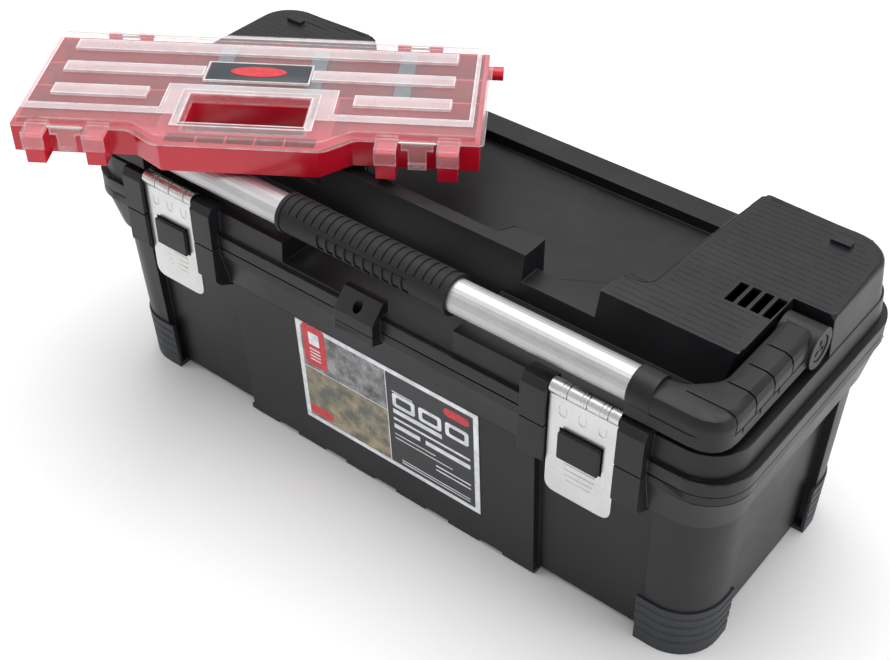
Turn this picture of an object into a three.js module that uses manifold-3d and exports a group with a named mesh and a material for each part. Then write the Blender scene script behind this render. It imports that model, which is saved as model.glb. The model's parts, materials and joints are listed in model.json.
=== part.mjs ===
// A 660 mm plastic toolbox with a lift-out tray inside and a loose parts organiser lying on its lid.
// Units are millimetres. +X runs along the box, -Y is the latch side, +Z is up, and the origin is
// the centre of the underside, on the surface that the box stands on.

import * as THREE from 'three';
import { mergeVertices } from 'three/addons/utils/BufferGeometryUtils.js';
import Module from 'manifold-3d';

const wasm = await Module();
wasm.setup();

// ---------------------------------------------------------------- driving dimensions
const GAP = 0.3;                    // clearance kept between neighbouring pieces
const ARC = 5;                      // facets in a quarter turn of a large corner
const FAR = 400;                    // beyond every wall, for tools that cut right through

const BIN = {
  bottom: 5, step: 163, rimLow: 197, top: 205.6, wall: 3.2,
  foot: [316, 117], waist: [320, 125.5], collarLow: [323, 129.5], collar: [329, 137], rim: [330, 138],
  radius: 38, recess: 8, panelHalf: 162, columnX: 268, columnY: 72, padHalf: [60, 20],
};
const TEETH = {                     // short feet under the front wall
  starts: [-166, -107, -48, 11, 70, 129], wide: 34, front: -116, back: -106, low: 1,
};
const LID = {
  bottom: 206, bandTop: 218, shelf: 240, pocket: 221, well: 230, notch: 255, top: 277.5, wall: 2.8,
  shoulder: [325, 134.5], body: [324, 132], crown: [320.5, 122], radius: 38, pocketHalf: 88,
  front: -64.5, shelfBack: -72, niche: 287, nicheBack: 15.5, wellFront: -52, wellBack: 107,
  notchBack: -47, notchIn: 104, notchOut: 171, mouthFront: -127,
};
const VENT = { count: 4, x: 247.3, pitch: 10.4, wide: 7.5, front: -16.7, back: 9, deep: 8 };
const STOP = { x0: 275.9, x1: 293, y0: 94, y1: 101, tall: 3.6 };
const PIVOT = { y: -4, z: 260.8, ring: 17, bore: 5.3, pin: 5, head: 10.5, counterbore: 11 };
const TUBE = { y: -124.7, z: 267.4, r: 13.75, inner: 12.3, half: 252, seen: 242.6, end: 253 };
const GRIP = { half: 85.4, r: 17, bore: 14.05 };
const ARM = {
  low: 250, shoulder: 266, top: 278, outerX: 319, outerY: -139, innerX: 290.5, innerY: -111.5,
  skin: 3, chamfer: 8, ringOut: 322, collar: 15.6, web: 1, websX: [270, 290], websY: [-100, -75, -50],
};
const LATCH = {
  x: 212.6, half: 29.5, y: -141, low: 142, high: 242, axisY: -137, axisZ: 243, roll: 6.4, plate: 1.2,
  bore: 1.8, pin: 1.5, pinHalf: 33, corner: 10, windowHalf: 19, windowLow: 182, windowHigh: 210,
  padFront: -145.8, padBack: -138.7,
};
const GUARD = { inner: 30.5, outer: 53 };
const LATCH_BACK = { half: 54, front: -132, back: -123.5, low: 207, top: 233 };
const HASP = { half: 20, hole: 4, holeY: -141.4 };
const HINGE = {
  x: 190, y: 143, z: 206, r: 5, bore: 2.3, pin: 2, half: 29, middle: 13, root: 134, clear: 137.2,
  earLow: 196, play: 0.01,
};
const TRAY = {
  half: [298, 106], low: 110, top: 196, rim: [316, 125], rimLow: 167.3, rimHigh: 170.3, wall: 2.5,
  draft: 4, radius: 28, dividers: [-100, 100], dividerHalf: 1.2, dividerY: 103, dividerTop: 174,
};
const TRAY_GRIP = { half: 101, endX: 96, endHalf: 5, halfY: 7, low: 174.3, bar: 197, top: 204 };
const FOOT = {
  x: 262, y: 66, height: 53, proud: 1.5, bite: 1.6, grooves: [14, 24, 34, 44], groove: 2.6, left: 0.7,
};
const LABEL = { x0: -88, x1: 108, z0: 40, z1: 158, thick: 0.6 };
const ORG = {                       // the organiser, in its own turned frame, z = 0 under its base
  x: -178.2, y: -63.5, z: 283.4, yaw: 33.7, half: 192, back: 90, front: -56, handleFront: -75.5,
  jogOut: 89, jogIn: 65, base: 25.5, lidLow: 25.8, lidTop: 34, rib: 36, floor: 2, lidOver: 4.2,
  lidInner: 2.4, lidSkin: 1.8, corner: 5, holeHalf: 50, holeBack: -12, holeFront: -55,
};
const PILLAR = {
  x: [118, 168], half: 8, front: -73.6, top: 24, tabHalf: 9, tabFront: -75.6, tabLow: 14, tabTop: 29.5,
};
const PEG = { r: 6, end: 205, y: 72, z: 17 };
const ORG_GRIP = { half: 61, front: -71.5, back: -59, floor: 3 };
const ORG_HINGE = {
  x: 130, y: 98, z: 24.2, r: 3, bore: 1.5, pin: 1.2, pinHalf: 19, inner: 8.3, outer: 20, knuckle: 8,
};
const CLIP = {
  x: 143, half: 13, y: -64, z: 29, roll: 2.2, bore: 1.2, pin: 0.9, pinHalf: 15, strip: 23,
  front: -66.2, tongueHalf: 7.5, low: 7, lip: 12, lipFront: -68.5, gapBack: -59.5,
};
const PLATE = { half: 43, y0: 10.3, y1: 38.1, proud: 0.6 };
const DIVIDER = { thin: 1.1, cap: 7, capLow: 22, capTop: 24.4, foot: 4, footDeep: 2.5, top: 24 };

const COLOURS = {
  shell: { color: 0x343337, roughness: 0.5, metalness: 0 },
  foot: { color: 0x3d4147, roughness: 0.6, metalness: 0 },
  arm: { color: 0x2c2c2e, roughness: 0.55, metalness: 0 },
  rubber: { color: 0x2d2e2f, roughness: 0.8, metalness: 0 },
  aluminium: { color: 0xd5d5d5, roughness: 0.32, metalness: 1 },
  steel: { color: 0xe0e2e0, roughness: 0.28, metalness: 1 },
  red: { color: 0xc9162f, roughness: 0.35, metalness: 0 },
  clear: { color: 0xe9e4e6, roughness: 0.25, metalness: 0 },
  divider: { color: 0x6f8790, roughness: 0.45, metalness: 0 },
  plate: { color: 0x3a3f47, roughness: 0.4, metalness: 0 },
  label: { color: 0xdcdfe4, roughness: 0.4, metalness: 0 },
};

// ---------------------------------------------------------------- small solid helpers
function solid(geometry) {
  const bare = geometry.index ? geometry.toNonIndexed() : geometry.clone();
  bare.deleteAttribute('normal');
  bare.deleteAttribute('uv');
  const merged = mergeVertices(bare, 1e-4);
  return new wasm.Manifold(new wasm.Mesh({
    numProp: 3,
    vertProperties: new Float32Array(merged.attributes.position.array),
    triVerts: new Uint32Array(merged.index.array),
  }));
}

function geometryOf(body) {
  const mesh = body.getMesh();
  const geometry = new THREE.BufferGeometry();
  geometry.setAttribute('position', new THREE.BufferAttribute(new Float32Array(mesh.vertProperties), 3));
  geometry.setIndex(new THREE.BufferAttribute(new Uint32Array(mesh.triVerts), 1));
  geometry.computeVertexNormals();
  return geometry;
}

const join = (...bodies) => bodies.flat().reduce((sum, body) => sum.add(body));
const cut = (body, ...tools) => tools.flat().reduce((rest, tool) => rest.subtract(tool), body);

function box(x0, x1, y0, y1, z0, z1) {
  const geometry = new THREE.BoxGeometry(x1 - x0, y1 - y0, z1 - z0);
  return solid(geometry.translate((x0 + x1) / 2, (y0 + y1) / 2, (z0 + z1) / 2));
}

function mirroredBoxes(x0, x1, y0, y1, z0, z1) {
  return [box(x0, x1, y0, y1, z0, z1), box(-x1, -x0, y0, y1, z0, z1)];
}

function roundedRect([halfX, halfY], radius) {
  const shape = new THREE.Shape();
  const corners = [[1, -1, -Math.PI / 2], [1, 1, 0], [-1, 1, Math.PI / 2], [-1, -1, Math.PI]];
  for (const [sx, sy, from] of corners) {
    shape.absarc(sx * (halfX - radius), sy * (halfY - radius), radius, from, from + Math.PI / 2);
  }
  shape.closePath();
  return shape;
}

// A closed outline whose points are [x, y] or, where the corner is rounded, [x, y, length of the round].
function outline(points) {
  const shape = new THREE.Shape();
  points.forEach(([x, y, round = 0], i) => {
    const corner = new THREE.Vector2(x, y);
    const [before, after] = [i - 1, i + 1].map((j) => {
      const [nextX, nextY] = points.at(j % points.length);
      return new THREE.Vector2(nextX, nextY).sub(corner).setLength(round).add(corner);
    });
    if (i === 0) shape.moveTo(before.x, before.y);
    else shape.lineTo(before.x, before.y);
    if (round > 0) shape.quadraticCurveTo(x, y, after.x, after.y);
  });
  shape.closePath();
  return shape;
}

const flipX = (points) => points.map(([x, y, round]) => [-x, y, round]).reverse();
const inflate = ([a, b], by) => [a + by, b + by];
const sorted = (a, b) => [Math.min(a, b), Math.max(a, b)];

function prism(shape, z0, z1, taper = [1, 1]) {
  const geometry = new THREE.ExtrudeGeometry(shape, {
    depth: z1 - z0, bevelEnabled: false, curveSegments: ARC,
  });
  const position = geometry.attributes.position;
  for (let i = 0; i < position.count; i += 1) {
    const t = position.getZ(i) / (z1 - z0);
    position.setX(i, position.getX(i) * (1 + (taper[0] - 1) * t));
    position.setY(i, position.getY(i) * (1 + (taper[1] - 1) * t));
  }
  return solid(geometry.translate(0, 0, z0));
}

function drafted(low, high, radius, z0, z1) {
  return prism(roundedRect(low, radius), z0, z1, [high[0] / low[0], high[1] / low[1]]);
}

function mirrored(body) {
  const geometry = geometryOf(body).scale(-1, 1, 1);
  const corners = geometry.index.array;
  for (let i = 0; i < corners.length; i += 3) [corners[i], corners[i + 1]] = [corners[i + 1], corners[i]];
  return solid(geometry);
}

// A bar whose (y, z) section runs along X.
function barAlongX(section, x0, x1) {
  const geometry = new THREE.ExtrudeGeometry(outline(section), { depth: x1 - x0, bevelEnabled: false });
  const turn = new THREE.Matrix4().set(0, 0, 1, x0, 1, 0, 0, 0, 0, 1, 0, 0, 0, 0, 0, 1);
  return solid(geometry.applyMatrix4(turn));
}

function rod(radius, x0, x1, y, z, facets = 24) {
  const geometry = new THREE.CylinderGeometry(radius, radius, x1 - x0, facets);
  return solid(geometry.rotateZ(Math.PI / 2).translate((x0 + x1) / 2, y, z));
}

function post(radius, x, y, z0, z1, facets = 20) {
  const geometry = new THREE.CylinderGeometry(radius, radius, z1 - z0, facets);
  return solid(geometry.rotateX(Math.PI / 2).translate(x, y, (z0 + z1) / 2));
}

// ---------------------------------------------------------------- assembly
const toolbox = new THREE.Group();
const organiser = new THREE.Group();
organiser.position.set(ORG.x, ORG.y, ORG.z);
organiser.rotation.z = THREE.MathUtils.degToRad(ORG.yaw);
toolbox.add(organiser);

function piece(name, body, colour, group = toolbox) {
  const mesh = new THREE.Mesh(geometryOf(body), new THREE.MeshStandardMaterial(COLOURS[colour]));
  mesh.name = name;
  group.add(mesh);
}

const SIDES = [['left', -1], ['right', 1]];
const SMALL = 16;                   // facets of a small round piece
const TINY = 12;

// ---------------------------------------------------------------- bin
// Proud zones of the walls: the centre panel and the four corner columns.
function proudZones(shrink) {
  const panel = BIN.panelHalf - shrink;
  const x = BIN.columnX + shrink;
  const y = BIN.columnY + shrink;
  const zones = [box(-panel, panel, -FAR, FAR, -1, FAR)];
  for (const sx of [-1, 1]) {
    for (const sy of [-1, 1]) {
      zones.push(box(...sorted(sx * x, sx * FAR), ...sorted(sy * y, sy * FAR), -1, FAR));
    }
  }
  return join(zones);
}

function binWalls(offset, shrink, z0, z1) {
  const full = drafted(inflate(BIN.foot, offset), inflate(BIN.waist, offset), BIN.radius + offset, z0, z1);
  const deep = offset - BIN.recess;
  const core = drafted(inflate(BIN.foot, deep), inflate(BIN.waist, deep), BIN.radius + deep, z0, z1);
  return join(core, full.intersect(proudZones(shrink)));
}

function footSleeve(offset, z0) {
  return drafted(inflate(BIN.foot, offset), inflate(BIN.waist, offset), BIN.radius + offset, z0, BIN.step);
}

function footZone(sx, sy, grow) {
  const xs = sorted(sx * (FOOT.x - grow), sx * FAR);
  const ys = sorted(sy * (FOOT.y - grow), sy * FAR);
  return box(...xs, ...ys, -1, FOOT.height + grow);
}

function latchGuards(section) {
  return SIDES.flatMap(([, side]) => [-1, 1].map((edge) => {
    const middle = side * LATCH.x;
    return barAlongX(section, ...sorted(middle + edge * GUARD.inner, middle + edge * GUARD.outer));
  }));
}

function hingeEars(x, z0) {
  const ends = [[x - HINGE.half, x - HINGE.middle - GAP], [x + HINGE.middle + GAP, x + HINGE.half]];
  return ends.flatMap(([x0, x1]) => [
    rod(HINGE.r, x0, x1, HINGE.y, HINGE.z),
    box(x0, x1, HINGE.root, HINGE.y, z0, BIN.top),
  ]);
}

// (y, z) sections of the bars that stand beside each latch, and of the padlock tab.
const BIN_GUARD = [[-126, 158], [-141, 166], [-146, 172], [-146, 205.2], [-126, 205.2]];
const BIN_TAB = [[-130, 190], [-148, 197], [-148, 205.2], [-130, 205.2]];
const LID_GUARD = [[-126, 206.4], [-146, 206.4], [-146, 240], [-142, 246.5], [-131, 246.5], [-126, 244]];
const LID_TAB = [[-128, LID.bottom], [-148, LID.bottom], [-148, 217], [-134, 232], [-128, 232]];

function binShell() {
  const [padX, padY] = BIN.padHalf;
  const shell = join(
    binWalls(0, 0, BIN.bottom, BIN.step),
    drafted(BIN.collarLow, BIN.collar, BIN.radius, BIN.step, BIN.rimLow),
    drafted(BIN.rim, BIN.rim, BIN.radius, BIN.rimLow, BIN.top),
    box(-padX, padX, -padY, padY, 0, BIN.bottom + 1),
    latchGuards(BIN_GUARD),
    barAlongX(BIN_TAB, -HASP.half, HASP.half),
    TEETH.starts.map((x) => box(x, x + TEETH.wide, TEETH.front, TEETH.back, TEETH.low, BIN.bottom + 1)),
    SIDES.flatMap(([, side]) => hingeEars(side * HINGE.x, HINGE.earLow)),
  );
  const floor = BIN.bottom + BIN.wall;
  const cavity = join(
    binWalls(-BIN.wall, BIN.wall, floor, BIN.step + 5),
    drafted(inflate(BIN.collarLow, -BIN.wall), inflate(BIN.collar, -BIN.wall), BIN.radius - BIN.wall,
      BIN.step + BIN.wall, BIN.top + 1),
  );
  const feet = [];
  for (const sx of [-1, 1]) {
    for (const sy of [-1, 1]) {
      feet.push(cut(footZone(sx, sy, GAP), footSleeve(-FOOT.bite - GAP, BIN.bottom)));
    }
  }
  const hinges = SIDES.flatMap(([, side]) => {
    const x = side * HINGE.x;
    const half = HINGE.middle + GAP;
    return [
      box(x - half, x + half, HINGE.clear, FAR, HINGE.z - HINGE.r - 2, LID.bottom + 1),
      rod(HINGE.bore, x - HINGE.half - 1, x + HINGE.half + 1, HINGE.y, HINGE.z),
    ];
  });
  return cut(shell, cavity, feet, post(HASP.hole, 0, HASP.holeY, BIN.rimLow - 10, LID.bottom), hinges);
}

function cornerFoot(sx, sy) {
  const sleeve = footSleeve(FOOT.proud, 0);
  const hollow = footSleeve(-FOOT.bite, BIN.bottom - GAP);
  const rings = FOOT.grooves.map((z) => cut(
    box(-FAR, FAR, -FAR, FAR, z, z + FOOT.groove),
    drafted(inflate(BIN.foot, FOOT.left), inflate(BIN.waist, FOOT.left), BIN.radius, 0, BIN.step),
  ));
  return cut(footZone(sx, sy, 0).intersect(sleeve), hollow, rings);
}

function labelPanel() {
  const slope = Math.atan2(BIN.waist[1] - BIN.foot[1], BIN.step - BIN.bottom);
  const height = LABEL.z1 - LABEL.z0;
  const geometry = new THREE.BoxGeometry(LABEL.x1 - LABEL.x0, LABEL.thick, height);
  const middle = (LABEL.z0 + LABEL.z1) / 2;
  const wallY = BIN.foot[1] + (middle - BIN.bottom) * Math.tan(slope);
  geometry.rotateX(slope);
  return solid(geometry.translate((LABEL.x0 + LABEL.x1) / 2, -wallY - GAP - LABEL.thick / 2, middle));
}

piece('bin_shell', binShell(), 'shell');
for (const [end, sy] of [['front', -1], ['back', 1]]) {
  for (const [side, sx] of SIDES) piece(`corner_foot_${end}_${side}`, cornerFoot(sx, sy), 'foot');
}
piece('label_panel', labelPanel(), 'label');
for (const [side, sx] of SIDES) {
  const x = sx * HINGE.x;
  const pin = rod(HINGE.pin, x - HINGE.half + 1, x + HINGE.half - 1, HINGE.y, HINGE.z, SMALL);
  piece(`lid_hinge_pin_${side}`, pin, 'steel');
}

// ---------------------------------------------------------------- lift-out tray
function liftOutTray() {
  const inner = inflate(TRAY.half, -TRAY.wall);
  const tub = drafted(inflate(TRAY.half, -TRAY.draft), TRAY.half, TRAY.radius, TRAY.low, TRAY.top);
  const rim = drafted(TRAY.rim, TRAY.rim, TRAY.radius, TRAY.rimLow, TRAY.rimHigh);
  const hollow = drafted(inflate(inner, -TRAY.draft), inner, TRAY.radius - TRAY.wall,
    TRAY.low + TRAY.wall, TRAY.top + 1);
  const walls = TRAY.dividers.map((x) => box(x - TRAY.dividerHalf, x + TRAY.dividerHalf,
    -TRAY.dividerY, TRAY.dividerY, TRAY.low + 1, TRAY.dividerTop));
  return join(cut(join(tub, rim), hollow), walls);
}

function trayHandle() {
  const { half, endX, endHalf, halfY, low, bar, top } = TRAY_GRIP;
  const ends = [-1, 1].map((s) => box(s * endX - endHalf, s * endX + endHalf, -halfY, halfY, low, bar + 1));
  return join(box(-half, half, -halfY, halfY, bar, top), ends);
}

piece('lift_out_tray', liftOutTray(), 'shell');
piece('lift_out_tray_handle', trayHandle(), 'arm');

// ---------------------------------------------------------------- lid
// Plans of what stands above the shelf: a platform at each end and a ridge behind the grip.
const PLATFORM = [
  [LID.notchOut, LID.shelfBack], [LID.niche, LID.shelfBack, 16], [LID.niche, LID.nicheBack],
  [FAR, LID.nicheBack], [FAR, 200], [208, 200], [206, 121], [198.8, 32], [197, -34, 8], [183, -38, 5],
  [174, -38],
];
const RIDGE = [
  [-LID.notchIn, LID.shelfBack], [LID.notchIn, LID.shelfBack], [LID.notchIn, -38], [75, -38, 4],
  [68, LID.wellFront, 4], [-68, LID.wellFront, 4], [-75, -38, 4], [-LID.notchIn, -38],
];
// The well trims the blocks round it by TRIM, so that it alone shapes the walls they share.
const TRIM = 0.2;
const WELL_RIGHT = [
  [68, LID.wellFront - TRIM, 4], [75 + TRIM, -38 - TRIM, 4], [LID.notchIn - TRIM, -38 - TRIM],
  [LID.notchIn - TRIM, LID.notchBack - TRIM], [LID.notchOut + TRIM, LID.notchBack - TRIM], [174, -38 - TRIM],
  [183, -38 - TRIM, 5], [197 + TRIM, -34, 8], [199 + TRIM, 32], [205 + TRIM, LID.wellBack, 8],
];
const WELL = [...WELL_RIGHT, ...flipX(WELL_RIGHT)];

function lidBlocks(platform, ridge, z0, z1) {
  return join(prism(outline(platform), z0, z1), prism(outline(flipX(platform)), z0, z1),
    prism(outline(ridge), z0, z1));
}

const PLATFORM_HOLLOW = [
  [175, -61], [283.5, -61, 14], [283.5, 19], [FAR, 19], [FAR, 200], [211, 200],
  [209.5, 121], [202.5, 32], [200.5, -33], [188, -42], [175, -42],
];
const RIDGE_HOLLOW = [
  [-100, -61], [100, -61], [100, -42], [77, -42], [70, -55.5], [-70, -55.5], [-77, -42], [-100, -42],
];

function lidOuter() {
  const taper = [LID.crown[0] / LID.body[0], LID.crown[1] / LID.body[1]];
  const upper = prism(roundedRect(LID.body, LID.radius - 4), LID.bandTop, LID.top, taper);
  return join(
    drafted(BIN.rim, BIN.rim, BIN.radius, LID.bottom, LID.bandTop),
    drafted(LID.shoulder, inflate(LID.shoulder, -1.5), LID.radius - 3, LID.bandTop, LID.shelf),
    cut(
      join(
        upper.intersect(lidBlocks(PLATFORM, RIDGE, LID.bandTop, LID.top)),
        mirroredBoxes(
          LID.notchIn - 4, LID.notchOut + 4, LID.shelfBack, LID.notchBack, LID.well - 2, LID.notch,
        ),
      ),
      frontSlope(),
    ),
  );
}

// What leaves the slanted front of the platforms and the ridge, from the shelf up to the crown.
function frontSlope() {
  const far = LID.shelfBack - 40;
  const high = LID.top + 0.1;
  return barAlongX([[far, LID.shelf], [LID.shelfBack, LID.shelf], [LID.front, high], [far, high]], -300, 300);
}

function lidHollow() {
  const floor = LID.bottom - 1;
  const skin = LID.wall;
  const inner = inflate(LID.body, -skin);
  const crown = inflate(LID.crown, -skin);
  const under = prism(roundedRect(inner, LID.radius - 8), LID.bandTop - skin - 1, LID.top - skin,
    [crown[0] / inner[0], crown[1] / inner[1]]);
  const pocketSide = LID.pocketHalf + skin;
  return join(
    drafted(inflate(BIN.rim, -4), inflate(BIN.rim, -4), BIN.radius - 4, floor, LID.bandTop - skin),
    under.intersect(join(
      box(-FAR, FAR, -FAR, FAR, floor, LID.pocket - skin),
      prism(outline(PLATFORM_HOLLOW), floor, LID.top - skin),
      prism(outline(flipX(PLATFORM_HOLLOW)), floor, LID.top - skin),
      prism(outline(RIDGE_HOLLOW), floor, LID.top - skin),
      mirroredBoxes(pocketSide, 171, -124, -58, floor, LID.shelf - skin),
      mirroredBoxes(171, FAR, -122, -60, floor, LID.shelf - skin),
      mirroredBoxes(280, FAR, -62, LID.nicheBack, floor, LID.shelf - skin),
      box(-200, 200, -56, FAR, floor, LID.well - skin),
      mirroredBoxes(110, 168, -61, -50, floor, LID.notch - skin),
    )),
  );
}

function lidKnuckle(x) {
  return [
    rod(HINGE.r, x - HINGE.middle, x + HINGE.middle, HINGE.y, HINGE.z),
    box(x - HINGE.middle, x + HINGE.middle, HINGE.root, HINGE.y, LID.bottom + 0.4, HINGE.z + HINGE.r),
  ];
}

function latchMouth(side) {
  const middle = side * LATCH.x;
  return box(middle - GUARD.inner, middle + GUARD.inner, -FAR, LID.mouthFront, LID.pocket + 9, FAR);
}

function latchBack(side) {
  const { half, front, back, low, top } = LATCH_BACK;
  const middle = side * LATCH.x;
  return box(middle - half, middle + half, front, back, low, top);
}

function lidVents() {
  return Array.from({ length: VENT.count }, (_, i) => VENT.x + i * VENT.pitch).flatMap((x) => (
    mirroredBoxes(x, x + VENT.wide, VENT.front, VENT.back, LID.top - VENT.deep, LID.top + 1)
  ));
}

// Room for the bin's hinge ears on both sides of the lid's knuckle, and the hinge's bore.
function lidHingeRoom(x) {
  const near = HINGE.middle + HINGE.play;
  const end = HINGE.half + 1;
  return [
    box(x - end, x - near, HINGE.clear, FAR, HINGE.z - 2, LID.bandTop + 1),
    box(x + near, x + end, HINGE.clear, FAR, HINGE.z - 2, LID.bandTop + 1),
    rod(HINGE.bore, x - end, x + end, HINGE.y, HINGE.z),
  ];
}

function lidShell() {
  const shell = join(
    cut(
      lidOuter(),
      lidHollow(),
      prism(outline(WELL), LID.well, LID.top + 1),
      box(-LID.pocketHalf, LID.pocketHalf, -FAR, LID.shelfBack, LID.pocket, FAR),
      SIDES.map(([, s]) => latchMouth(s)),
    ),
    latchGuards(LID_GUARD),
    SIDES.map(([, s]) => latchBack(s)),
    barAlongX(LID_TAB, -HASP.half, HASP.half),
    SIDES.flatMap(([, s]) => lidKnuckle(s * HINGE.x)),
    mirroredBoxes(STOP.x0, STOP.x1, STOP.y0, STOP.y1, LID.top - 1, LID.top + STOP.tall),
  );
  const reach = LATCH.pinHalf + 1;
  const pins = SIDES.flatMap(([, s]) => [
    rod(PIVOT.bore, ...sorted(s * 270, s * 300), PIVOT.y, PIVOT.z),
    rod(LATCH.bore, s * LATCH.x - reach, s * LATCH.x + reach, LATCH.axisY, LATCH.axisZ, SMALL),
  ]);
  const hinges = SIDES.flatMap(([, s]) => lidHingeRoom(s * HINGE.x));
  return cut(shell, post(HASP.hole, 0, HASP.holeY, LID.bottom - 10, LID.shelf), lidVents(), hinges, pins);
}

piece('lid_shell', lidShell(), 'shell');

// ---------------------------------------------------------------- latches
function latchPlate(x) {
  const sheet = outline([
    [-LATCH.half, LATCH.low, LATCH.corner], [LATCH.half, LATCH.low, LATCH.corner],
    [LATCH.half, LATCH.high], [-LATCH.half, LATCH.high],
  ]);
  const geometry = new THREE.ExtrudeGeometry(sheet, {
    depth: LATCH.plate, bevelEnabled: false, curveSegments: ARC,
  });
  geometry.rotateX(Math.PI / 2).translate(x, LATCH.y + LATCH.plate / 2, 0);
  const { windowHalf, windowLow, windowHigh } = LATCH;
  const window = box(x - windowHalf, x + windowHalf, -FAR, LATCH.axisY, windowLow, windowHigh);
  const roll = rod(LATCH.roll, x - LATCH.half, x + LATCH.half, LATCH.axisY, LATCH.axisZ, 28);
  const eye = rod(LATCH.bore, x - LATCH.half - 1, x + LATCH.half + 1, LATCH.axisY, LATCH.axisZ, SMALL);
  return cut(join(cut(solid(geometry), window), roll), eye);
}

function latchPad(x) {
  const half = LATCH.windowHalf - 1;
  return box(x - half, x + half, LATCH.padFront, LATCH.padBack, LATCH.windowLow + 1, LATCH.windowHigh - 1);
}

for (const [side, sx] of SIDES) {
  const x = sx * LATCH.x;
  const pin = rod(LATCH.pin, x - LATCH.pinHalf, x + LATCH.pinHalf, LATCH.axisY, LATCH.axisZ, SMALL);
  piece(`latch_plate_${side}`, latchPlate(x), 'steel');
  piece(`latch_pad_${side}`, latchPad(x), 'arm');
  piece(`latch_pin_${side}`, pin, 'steel');
}

// ---------------------------------------------------------------- carrying handle
function ring(outer, inner, x0, x1, facets) {
  return cut(rod(outer, x0, x1, TUBE.y, TUBE.z, facets), rod(inner, x0 - 1, x1 + 1, TUBE.y, TUBE.z, facets));
}

const ARM_PLAN = [
  [TUBE.seen, ARM.outerY], [ARM.outerX, ARM.outerY, 26], [ARM.outerX, PIVOT.y], [ARM.innerX, PIVOT.y],
  [ARM.innerX, -92, 8], [271, ARM.innerY, 8], [TUBE.seen, ARM.innerY],
];
const ARM_HOLLOW = [
  [256, -135.5], [315.5, -135.5, 24], [315.5, -24], [294, -24], [294, -93.5, 8], [273, -115, 8], [256, -115],
];

function armTop() {
  const geometry = new THREE.ExtrudeGeometry(outline(ARM_PLAN), {
    depth: ARM.top - ARM.shoulder - ARM.chamfer, bevelEnabled: true, bevelSegments: 2, curveSegments: ARC,
    bevelThickness: ARM.chamfer, bevelSize: ARM.chamfer, bevelOffset: -ARM.chamfer,
  });
  return solid(geometry.translate(0, 0, ARM.shoulder));
}

function handleArm(side) {
  const arm = join(
    prism(outline(ARM_PLAN), ARM.low, ARM.shoulder),
    armTop(),
    rod(ARM.collar, TUBE.seen, 262, TUBE.y, TUBE.z, 32),
    rod(PIVOT.ring, ARM.innerX, ARM.ringOut, PIVOT.y, PIVOT.z, 32),
  );
  const webs = [
    ...ARM.websY.map((y) => box(280, FAR, y - ARM.web, y + ARM.web, ARM.low, FAR)),
    ...ARM.websX.map((x) => box(x - ARM.web, x + ARM.web, -150, -110, ARM.low, FAR)),
  ];
  const cavity = cut(prism(outline(ARM_HOLLOW), ARM.low - 1, ARM.top - ARM.skin - 1), webs);
  const behindRing = cut(
    box(280, FAR, PIVOT.y, 40, 230, 300),
    rod(PIVOT.ring, 270, 340, PIVOT.y, PIVOT.z, 32),
  );
  const body = cut(
    arm, cavity, behindRing,
    rod(TUBE.r + GAP, TUBE.seen - 10, TUBE.end, TUBE.y, TUBE.z, 32),
    rod(PIVOT.bore, 280, 330, PIVOT.y, PIVOT.z),
    rod(PIVOT.counterbore, 317.5, 330, PIVOT.y, PIVOT.z, 28),
  );
  return side > 0 ? body : mirrored(body);
}

function pivotPin(side) {
  const pin = join(
    rod(PIVOT.pin, 284.6, 319, PIVOT.y, PIVOT.z),
    rod(PIVOT.head, 317.8, 321.2, PIVOT.y, PIVOT.z, 28),
  );
  return side > 0 ? pin : mirrored(pin);
}

piece('handle_tube', ring(TUBE.r, TUBE.inner, -TUBE.half, TUBE.half, 28), 'aluminium');
piece('handle_grip', ring(GRIP.r, GRIP.bore, -GRIP.half, GRIP.half, 28), 'rubber');
for (const [side, sx] of SIDES) {
  piece(`handle_arm_${side}`, handleArm(sx), 'arm');
  piece(`handle_pivot_pin_${side}`, pivotPin(sx), 'arm');
}

// ---------------------------------------------------------------- organiser
function organiserPlan(grow, round) {
  const half = ORG.half + grow;
  const front = ORG.front - grow;
  const handle = ORG.handleFront - grow;
  const right = [
    [ORG.jogIn + grow, handle, round], [ORG.jogOut + grow, front, round],
    [half, front, round], [half, ORG.back + grow, round],
  ];
  return [...right, ...flipX(right)];
}

const HAND_HOLE = box(-ORG.holeHalf, ORG.holeHalf, ORG.holeFront, ORG.holeBack, -5, 60);
const ROWS = [
  { name: 'back', x: [-188, 188], y: [46, 87] },
  { name: 'middle', x: [-188, 188], y: [8, 43.5] },
  { name: 'front_left', x: [-188, -72], y: [-52, 5.5] },
  { name: 'front_right', x: [72, 188], y: [-52, 5.5] },
];
const DIVIDERS = [-37, 45, 122];
const pillarPlaces = [-1, 1].flatMap((s) => PILLAR.x.map((x) => s * x));
const hingePlaces = [-ORG_HINGE.x, ORG_HINGE.x];
const clipPlaces = [-CLIP.x, CLIP.x];
const hingeRod = (radius, x, x0, x1) => rod(radius, x + x0, x + x1, ORG_HINGE.y, ORG_HINGE.z, SMALL);

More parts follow.
